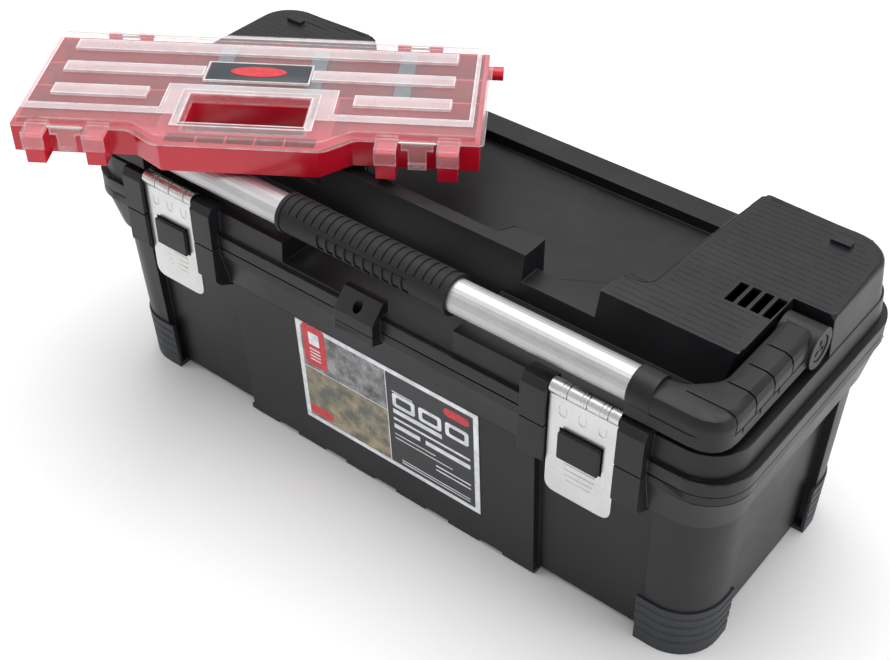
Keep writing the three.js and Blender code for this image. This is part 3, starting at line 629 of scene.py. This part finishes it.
# %% Label artwork
label_low, label_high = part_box("label_panel")
WALL_FOOT_Y, WALL_TOP_Y = 117, 125.5
WALL_FOOT_Z, WALL_TOP_Z = 5, 163
LABEL_TILT = (WALL_TOP_Y - WALL_FOOT_Y) / (WALL_TOP_Z - WALL_FOOT_Z)
TURN = Matrix.Translation((0, label_high.y, label_low.z)) @ Matrix.Rotation(LABEL_TILT, 4, "X") \
    @ Matrix.Translation((0, -label_high.y, -label_low.z))
FACE = label_high.y - 0.62 * MM


def printed(name, colour, x0, x1, z0, z1, layer=1, bevel=0.0):
    """A flat printed field, given from the label's left and lower edges in mm."""
    x = label_low.x
    z = label_low.z
    front = FACE - layer * 0.07 * MM
    piece = block(name, (x + x0 * MM, front, z + z0 * MM), (x + x1 * MM, FACE, z + z1 * MM), 0)
    if bevel:
        round_corners(piece, bevel * MM)
    piece.data.transform(TURN)
    return dress(piece, "bin", INK[colour])


printed("label_scene_upper", "grey", 5, 99, 67, 113)
printed("label_scene_lower", "tan", 5, 99, 5, 66)
printed("label_field_dark", "dark", 100, 191, 5, 113)
printed("label_tag_upper", "red", 7, 33, 71, 118, 2, 4)
printed("label_tag_mark", "white", 14, 26, 96, 110, 3, 1)
printed("label_tag_lower", "red", 6, 32, 9, 19, 2, 3)
printed("label_pill", "red", 161, 187, 99, 108, 2, 4)
bars = [(14, 26, 90 - 4 * i, 91.5 - 4 * i) for i in range(4)]
bars += [(106, 128, 93, 94), (106, 150, 42, 43), (106, 168, 37, 38), (112, 186, 12, 13), (112, 186, 9, 10)]
bars += [(106, 187, 60, 62.5), (140, 187, 50, 55), (106, 134, 50, 55)]
bars += [(150, 187, 30, 31.5), (150, 187, 25, 26.5)]
for number, (x0, x1, z0, z1) in enumerate(bars):
    printed(f"label_bar_{number:02d}", "white", x0, x1, z0, z1, 3)
for number, x in enumerate((106, 134, 162)):
    printed(f"label_block_{number}", "white", x, x + 24, 76, 92, 3, 3)
    printed(f"label_block_inner_{number}", "dark", x + 4, x + 20, 80, 88, 4, 2)
printed("label_band", "white", 106, 158, 68, 73, 3)
frame["nodes"]["label_panel"].data.materials.clear()
frame["nodes"]["label_panel"].data.materials.append(INK["white"])
print("label pieces", 12 + len(bars))

# %% [markdown]
# ## Handle
# A drawn aluminium tube joins two nylon arms that turn on pins in the lid. The grip is a rubber sleeve:
# its upper side is ribbed for the fingers and its front carries a row of small windows. It is made from
# a cylinder, with a ring for each rib and the windows cut by a boolean.

# %% Handle grip
grip_low, grip_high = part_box("handle_grip")
AXIS = (grip_low + grip_high) / 2
GRIP_R = (grip_high.z - grip_low.z) / 2
BODY_R = GRIP_R - 1.1 * MM
TUBE_R = (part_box("handle_tube")[1].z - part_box("handle_tube")[0].z) / 2


def round_bar(name, radius, x0, x1, centre, vertices=64):
    """A cylinder along X."""
    deselect()
    bpy.ops.mesh.primitive_cylinder_add(vertices=vertices, radius=radius, depth=x1 - x0,
                                        location=((x0 + x1) / 2, centre.y, centre.z), rotation=(0, pi / 2, 0))
    return settle(bpy.context.object, name)


def subtract(piece, tools):
    """Cuts tools out of a piece and removes them."""
    cutter = joined(tools, "cutter") if len(tools) > 1 else tools[0]
    modify(piece, "BOOLEAN", operation="DIFFERENCE", solver="EXACT", object=cutter)
    bpy.data.objects.remove(cutter)


grip = round_bar("grip_core", BODY_R, grip_low.x, grip_high.x, AXIS)
subtract(grip, [round_bar("bore", TUBE_R + 0.3 * MM, grip_low.x - 0.01, grip_high.x + 0.01, AXIS)])
WINDOW_COUNT = 10
FIRST_WINDOW = -41.5 * MM
WINDOW_PITCH = 9.5 * MM
WINDOW_WIDE = 6.6 * MM
WINDOW_DEEP = 1.3 * MM
front = AXIS.y - BODY_R
windows = []
for i in range(WINDOW_COUNT):
    x = FIRST_WINDOW + i * WINDOW_PITCH
    low = (x, front - 2 * MM, AXIS.z - 7.5 * MM)
    window = block("window", low, (x + WINDOW_WIDE, AXIS.y, AXIS.z + 6 * MM), 0)
    round_corners(window, 1.2 * MM)
    windows.append(window)
windows = joined(windows, "windows")
subtract(windows, [round_bar("core", BODY_R - WINDOW_DEEP, grip_low.x, grip_high.x, AXIS)])
subtract(grip, [windows])
soften(grip, 0.3 * MM, 40)
dress(grip, "handle", RUBBER, "handle_grip")

# %% [markdown]
# The finger ribs go only over the upper and back part of the sleeve. Each is a short cylinder, cut by a
# slanting plane and bored to fit over the core, and a whole collar closes each end.

# %% Grip ribs and end collars
RIB_COUNT = 20
rib_pitch = (grip_high.x - grip_low.x - 12 * MM) / RIB_COUNT
RIB_CUT = Vector((0, -0.62, -0.78))
ribs = []
for i in range(RIB_COUNT):
    x = grip_low.x + 6 * MM + i * rib_pitch
    ring = round_bar("rib", GRIP_R, x, x + rib_pitch - 1.5 * MM, AXIS, 48)
    take(ring)
    bpy.ops.object.mode_set(mode="EDIT")
    bpy.ops.mesh.select_all(action="SELECT")
    bpy.ops.mesh.bisect(plane_co=(x, AXIS.y, AXIS.z), plane_no=RIB_CUT, use_fill=True, clear_outer=True)
    bpy.ops.object.mode_set(mode="OBJECT")
    ribs.append(ring)
for x0, x1 in ((grip_low.x, grip_low.x + 4 * MM), (grip_high.x - 4 * MM, grip_high.x)):
    ribs.append(round_bar("collar", GRIP_R, x0, x1, AXIS, 64))
grip_ribs = joined(ribs, "grip_ribs")
subtract(grip_ribs, [round_bar("bore", BODY_R - 0.4 * MM, grip_low.x - 0.01, grip_high.x + 0.01, AXIS)])
soften(grip_ribs, 0.5 * MM, 40, 3)
dress(grip_ribs, "handle", RUBBER)
print("grip pieces", len(ribs))

# %% [markdown]
# Each arm keeps its CAD shape. Grooves cross its flat top and run down its side as far as a seam, where
# the upper half of the real moulding meets its lower skirt. A groove's cutter is a thin slice with a core
# taken out of it, so that it bites equally deep into the top, the chamfer and the side.

# %% Handle arms
ARM_GROOVES = (-42.3, -68.5, -94.0, -119.5)
ARM_TOP = 278 * MM
ARM_SIDE = 319 * MM
SEAM = 261.5 * MM
BITE = 1.3 * MM


def arm_section(name, inner, y0, y1, inset, low):
    """A bar with the arm's chamfered outer side, made smaller by the inset."""
    bar = block(name, (inner, y0, low), (ARM_SIDE - inset, y1, ARM_TOP - inset), 0)
    take(bar)
    bpy.ops.object.mode_set(mode="EDIT")
    mesh = bmesh.from_edit_mesh(bar.data)
    for edge in mesh.edges:
        a, b = edge.verts
        edge.select = min(a.co.x, b.co.x) > ARM_SIDE - 5 * MM and min(a.co.z, b.co.z) > ARM_TOP - 5 * MM
    bmesh.update_edit_mesh(bar.data)
    bpy.ops.mesh.bevel(offset=8 * MM, segments=2, affect="EDGES")
    bpy.ops.object.mode_set(mode="OBJECT")
    return bar


def arm_cutters():
    tools = []
    for y in ARM_GROOVES:
        inner = (291 if y > -110 else 278) * MM
        groove = arm_section("groove", inner, (y - 0.75) * MM, (y + 0.75) * MM, -2 * MM, SEAM)
        core = arm_section("core", inner - 5 * MM, (y - 3) * MM, (y + 3) * MM, BITE, SEAM - 5 * MM)
        subtract(groove, [core])
        tools.append(groove)
    for y in (-60, -86, -110):
        low = (ARM_SIDE - 1.5 * MM, (y - 1) * MM, 256 * MM)
        tools.append(block("notch", low, (0.33, (y + 1) * MM, SEAM), 0))
    tools.append(block("seam", (ARM_SIDE - 1.1 * MM, -0.121, SEAM - 1.2 * MM), (0.33, -0.021, SEAM), 0))
    tools.append(block("seam", (0.262, -0.15, SEAM - 1.2 * MM), (0.299, -0.1379, SEAM), 0))
    return tools


for side, sign in (("left", -1), ("right", 1)):
    arm = copy_of(f"handle_arm_{side}", f"arm_{side}")
    for tool in arm_cutters():
        if sign < 0:
            tool.data.transform(Matrix.Scale(-1, 4, (1, 0, 0)))
            tool.data.flip_normals()
        subtract(arm, [tool])
    soften(arm, 0.5 * MM)
    dress(arm, "handle", ARM, f"handle_arm_{side}")
print("arm grooves", len(ARM_GROOVES))

# %% [markdown]
# The heads of the pins that the arms turn on carry three short slots round the centre. One slot is made
# at the top and turned by a third of a circle for each of the others.

# %% Pivot pins
for side, sign in (("left", -1), ("right", 1)):
    pin = copy_of(f"handle_pivot_pin_{side}", f"pivot_pin_{side}")
    low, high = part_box(f"handle_pivot_pin_{side}")
    centre = (low + high) / 2
    outer = high.x if sign > 0 else low.x
    slots = []
    for k in range(3):
        slot = block("slot", (outer - 1.2 * MM, centre.y - 1.0 * MM, centre.z + 2.6 * MM),
                     (outer + 1.2 * MM, centre.y + 1.0 * MM, centre.z + 7.2 * MM), 0)
        third = Matrix.Rotation(k * 2 * pi / 3, 4, "X")
        turn = Matrix.Translation(centre) @ third @ Matrix.Translation(-centre)
        slot.data.transform(turn)
        slots.append(slot)
    for slot in slots:
        subtract(pin, [slot])
    soften(pin, 0.4 * MM)
    dress(pin, "lid", ARM, f"handle_pivot_pin_{side}")

# %% [markdown]
# ## Latches
# Each latch is a zinc plated stamping whose top is rolled round its pin. The roll is stamped into
# knuckles, three U shapes are pressed under it, and four lines stand proud below the window.

# %% Latch plates
ROLL_R = 6.4 * MM
PLATE_FRONT = -0.1416
DEEP_GAPS = (-13.9, 3.0, 20.8)
FINE_GAPS = (-19.5, -16.7, -2.4, 0.3, 14.2, 17.5)
PRESSED = ((175.5, 14), (170, 14), (164.5, 12.5), (159.5, 10.5))
PRESS_WIDE = 1.3 * MM
PRESS_PROUD = 0.45 * MM
U_DEEP = 0.6 * MM


def roll_gap(middle, roll, x, wide, deep):
    """A slice of a ring that cuts a gap into the upper part of the roll."""
    centre = Vector((0, *roll))
    at = middle + x * MM
    ring = round_bar("ring", ROLL_R + 2 * MM, at - wide / 2 * MM, at + wide / 2 * MM, centre, 40)
    subtract(ring, [round_bar("core", ROLL_R - deep, at - 2 * MM, at + 2 * MM, centre, 40)])
    take(ring)
    bpy.ops.object.mode_set(mode="EDIT")
    bpy.ops.mesh.select_all(action="SELECT")
    bpy.ops.mesh.bisect(plane_co=(0, roll[0], roll[1] - 3 * MM), plane_no=(0, 0, -1), use_fill=True,
                        clear_outer=True)
    bpy.ops.object.mode_set(mode="OBJECT")
    return ring


def pressed_u(x):
    """A thin groove in the shape of a U."""
    outer = block("u", (x - 3.6 * MM, -0.15, 221 * MM), (x + 3.6 * MM, PLATE_FRONT + U_DEEP, 232 * MM), 0)
    inner = block("u", (x - 2.6 * MM, -0.16, 222 * MM), (x + 2.6 * MM, -0.14, 236 * MM), 0)
    round_corners(outer, 3.4 * MM)
    round_corners(inner, 2.5 * MM)
    subtract(outer, [inner])
    return outer


def latch(side):
    plate = copy_of(f"latch_plate_{side}", f"latch_{side}_plate")
    low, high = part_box(f"latch_plate_{side}")
    middle = (low.x + high.x) / 2
    roll = (high.y - ROLL_R, high.z - ROLL_R)
    ridges = []
    for z, half in PRESSED:
        low_corner = (middle - half * MM, PLATE_FRONT - PRESS_PROUD, z * MM)
        high_corner = (middle + half * MM, PLATE_FRONT + PRESS_PROUD, z * MM + PRESS_WIDE)
        ridges.append(block("press", low_corner, high_corner, 0.35 * MM, 2))
    ridges = joined(ridges, f"latch_{side}_ridges")
    smooth(ridges, 50)
    dress(ridges, f"latch_{side}", STEEL)
    cuts = [roll_gap(middle, roll, x, 1.0, 1.4 * MM) for x in DEEP_GAPS]
    cuts += [roll_gap(middle, roll, x, 0.5, 0.5 * MM) for x in FINE_GAPS]
    cuts += [pressed_u(middle + x * MM) for x in (-17, 0, 17)]
    for tool in cuts:
        subtract(plate, [tool])
    soften(plate, 0.2 * MM, 35)
    dress(plate, f"latch_{side}", STEEL, f"latch_plate_{side}")
    print("latch", side, len(cuts), "marks")


latch("left")
latch("right")
for side in ("left", "right"):
    pad = copy_of(f"latch_pad_{side}", f"latch_{side}_pad")
    soften(pad, 1.2 * MM, 28, 2)
    dress(pad, f"latch_{side}", ARM, f"latch_pad_{side}")

# %% [markdown]
# ## Organiser
# It lies askew, so its new pieces are made straight, in its own frame, and then carried to their place.
# The frame is read from the hinge of its lid: the hinge's direction gives the turn, and its position
# gives the place.

# %% The organiser's own frame
hinge = joint["organiser_lid_hinge"]
ALONG = -Vector(hinge["axis"])
YAW = Matrix.Rotation(Vector((1, 0)).angle_signed(Vector((ALONG.x, ALONG.y))) * -1, 4, "Z")
HINGE_IN_ORGANISER = Vector((0, 98 * MM, 24.2 * MM))
ORGANISER = Matrix.Translation(Vector(hinge["pos_m"]) - YAW @ HINGE_IN_ORGANISER) @ YAW
print("organiser turned", round(YAW.to_euler().z / radians(1), 2), "at", ORGANISER.translation)


def local_block(name, x0, x1, y0, y1, z0, z1, bevel=0.3, segments=2):
    piece = block(name, (x0 * MM, y0 * MM, z0 * MM), (x1 * MM, y1 * MM, z1 * MM), bevel * MM, segments)
    piece.data.transform(ORGANISER)
    return piece


# %% [markdown]
# The organiser's mouldings keep their CAD shape and only get a soft edge: the widest on the red base,
# the finest on the clips and dividers, whose walls are thin.

# %% Organiser base, lid and clips
for node, body, finish, slot, radius in (
        ("organiser_base", "organiser", RED, "red", 0.6),
        ("organiser_lid", "organiser_lid", CLEAR, "clear", 0.5),
        ("organiser_clip_left", "organiser_clip_left", CLEAR, "clear", 0.3),
        ("organiser_clip_right", "organiser_clip_right", CLEAR, "clear", 0.3)):
    piece = copy_of(node, f"{node}_soft")
    soften(piece, radius * MM)
    dress(piece, body, finish, node)
for row in ("back", "middle"):
    for i in (1, 2, 3):
        piece = copy_of(f"divider_{row}_{i}", f"divider_{row}_{i}_soft")
        soften(piece, 0.3 * MM)
        dress(piece, "organiser", DIVIDER, f"divider_{row}_{i}")

# %% [markdown]
# The clear lid is thicker and cloudier in its border, its ribs and round the name plate, and every
# rib ends in a rounded edge that catches the light. The cloudy zones are thin pads of a milkier finish on the
# deck, and the light on the edges is a painted highlight: slim beads of a near-white finish round them.

# %% Milky zones and painted highlight beads of the clear lid
MILKY = clear_plastic("cloudy_border_styrene", (0.93, 0.86, 0.88), 0.30)
# Painted highlight: a near-white, more opaque finish for the bright edges, where light catches them.
HIGHLIGHT_BEAD = clear_plastic("painted_highlight_styrene", (0.97, 0.92, 0.93), 0.42)
DECK = 34.0


def rectangle_bead(name, x0, x1, y0, y1, top, width=0.9):
    """Four slim bars round a rectangle, in the painted highlight finish."""
    sides = [
        (x0, x1, y0, y0 + width), (x0, x1, y1 - width, y1),
        (x0, x0 + width, y0, y1), (x1 - width, x1, y0, y1),
    ]
    bars = [local_block("bead", a, b, c, d, DECK - 0.2, top, 0.2, 1) for a, b, c, d in sides]
    return dress(joined(bars, name), "organiser_lid", HIGHLIGHT_BEAD)


LID_RIBS = [
    (-166.5, 166.5, 53, 69), (-166.5, -46, 15.5, 31), (46, 166.5, 15.5, 31), (-166.5, -86, -22, -6),
    (86, 166.5, -22, -6),
]
for i, (x0, x1, y0, y1) in enumerate(LID_RIBS):
    pad = local_block(f"lid_rib_haze_{i}", x0 + 0.6, x1 - 0.6, y0 + 0.6, y1 - 0.6, 35.7, 36.15, 0.1, 1)
    dress(pad, "organiser_lid", MILKY)
    rectangle_bead(f"lid_rib_bead_{i}", x0, x1, y0, y1, 36.25)

# Border zone: the deck outside the window, in straight strips.
BORDER = [
    (-186, -183, -44, 86), (183, 186, -44, 86), (-183, 183, 84, 88),
    (-183, -72, -44, -35.5), (72, 183, -44, -35.5),
    (-72, -69, -44, 3), (69, 72, -44, 3), (-69, -53, -44, 3), (53, 69, -44, 3), (-53, 53, -9.5, 3),
]
strips = [local_block("border", a, b, c, d, DECK - 0.1, DECK + 0.35, 0.05, 1) for a, b, c, d in BORDER]
dress(joined(strips, "lid_border_haze"), "organiser_lid", MILKY)
# Painted highlight: bright beads along the window's edge, where light catches it.
WINDOW = [
    (-183, 183, 83.2, 84), (-183, -182.2, -35.5, 84), (182.2, 183, -35.5, 84), (-183, -71, -35.5, -34.7),
    (71, 183, -35.5, -34.7), (-72, -71, -35.5, 3), (71, 72, -35.5, 3), (-72, 72, 2.2, 3),
]
edges = [local_block("edge", a, b, c, d, DECK - 0.1, DECK + 0.7, 0.2, 1) for a, b, c, d in WINDOW]
dress(joined(edges, "lid_window_bead"), "organiser_lid", HIGHLIGHT_BEAD)
# Painted highlight: bright beads round the hand hole's edges.
rectangle_bead("hand_hole_bead", -51.8, 51.8, -56.8, -10.2, 34.6)
rectangle_bead("hand_hole_outer_bead", -58, 58, -61, -5, 34.8)
FRAME = [(-57, 57, -10.5, -6), (-57, -51.6, -60, -10.5), (51.6, 57, -60, -10.5)]
pads = [local_block("frame", a, b, c, d, DECK - 0.1, DECK + 0.35, 0.05, 1) for a, b, c, d in FRAME]
dress(joined(pads, "hand_hole_haze"), "organiser_lid", MILKY)
webs = [local_block("web", x - 0.8, x + 0.8, -71.3, -59.2, 3, 25, 0.2, 1) for x in (-36, -12, 12, 36)]
dress(joined(webs, "grip_recess_webs"), "organiser", RED)

# %% [markdown]
# A dark plate sits in a frame on the lid, and the frame's bright edge is a painted highlight. A plain raised
# oval takes the place of any name on it.

# %% Name plate with a plain oval
plate = local_block("name_plate_slate", -43, 43, 10.3, 38.1, 34.3, 36.1, 0.5)
smooth(plate, 40)
dress(plate, "organiser_lid", PLATE, "organiser_name_plate")
rectangle_bead("name_plate_bead", -45.2, 45.2, 8.6, 39.8, 36.0, 1.4)
deselect()
bpy.ops.mesh.primitive_cylinder_add(vertices=64, radius=1, depth=1, location=(0, 24.2 * MM, 36.3 * MM),
                                    scale=(24 * MM, 8 * MM, 0.55 * MM))
oval = settle(bpy.context.object, "name_plate_oval")
oval.data.transform(ORGANISER)
soften(oval, 0.15 * MM)
dress(oval, "organiser_lid", INK["red"])

# %% [markdown]
# ## Tray and the small steel pins
# The tray is hidden while the lid is shut, and gets the same softened edges. The pins keep their CAD
# shape, and only need their finish.

# %% Lift-out tray, tube and pins
for node, radius, finish, slot in (
        ("lift_out_tray", 0.6, TRAY, "tray"), ("lift_out_tray_handle", 1.2, ARM, "arm")):
    piece = copy_of(node, f"{node}_soft")
    soften(piece, radius * MM)
    dress(piece, "lift_out_tray", finish, node)
tube = frame["nodes"]["handle_tube"]
tube.data.materials.clear()
tube.data.materials.append(ALUMINIUM)
for side in ("left", "right"):
    for stem in ("lid_hinge_pin", "latch_pin", "organiser_hinge_pin", "organiser_clip_pin"):
        pin = frame["nodes"][f"{stem}_{side}"]
        pin.data.materials.clear()
        pin.data.materials.append(STEEL)
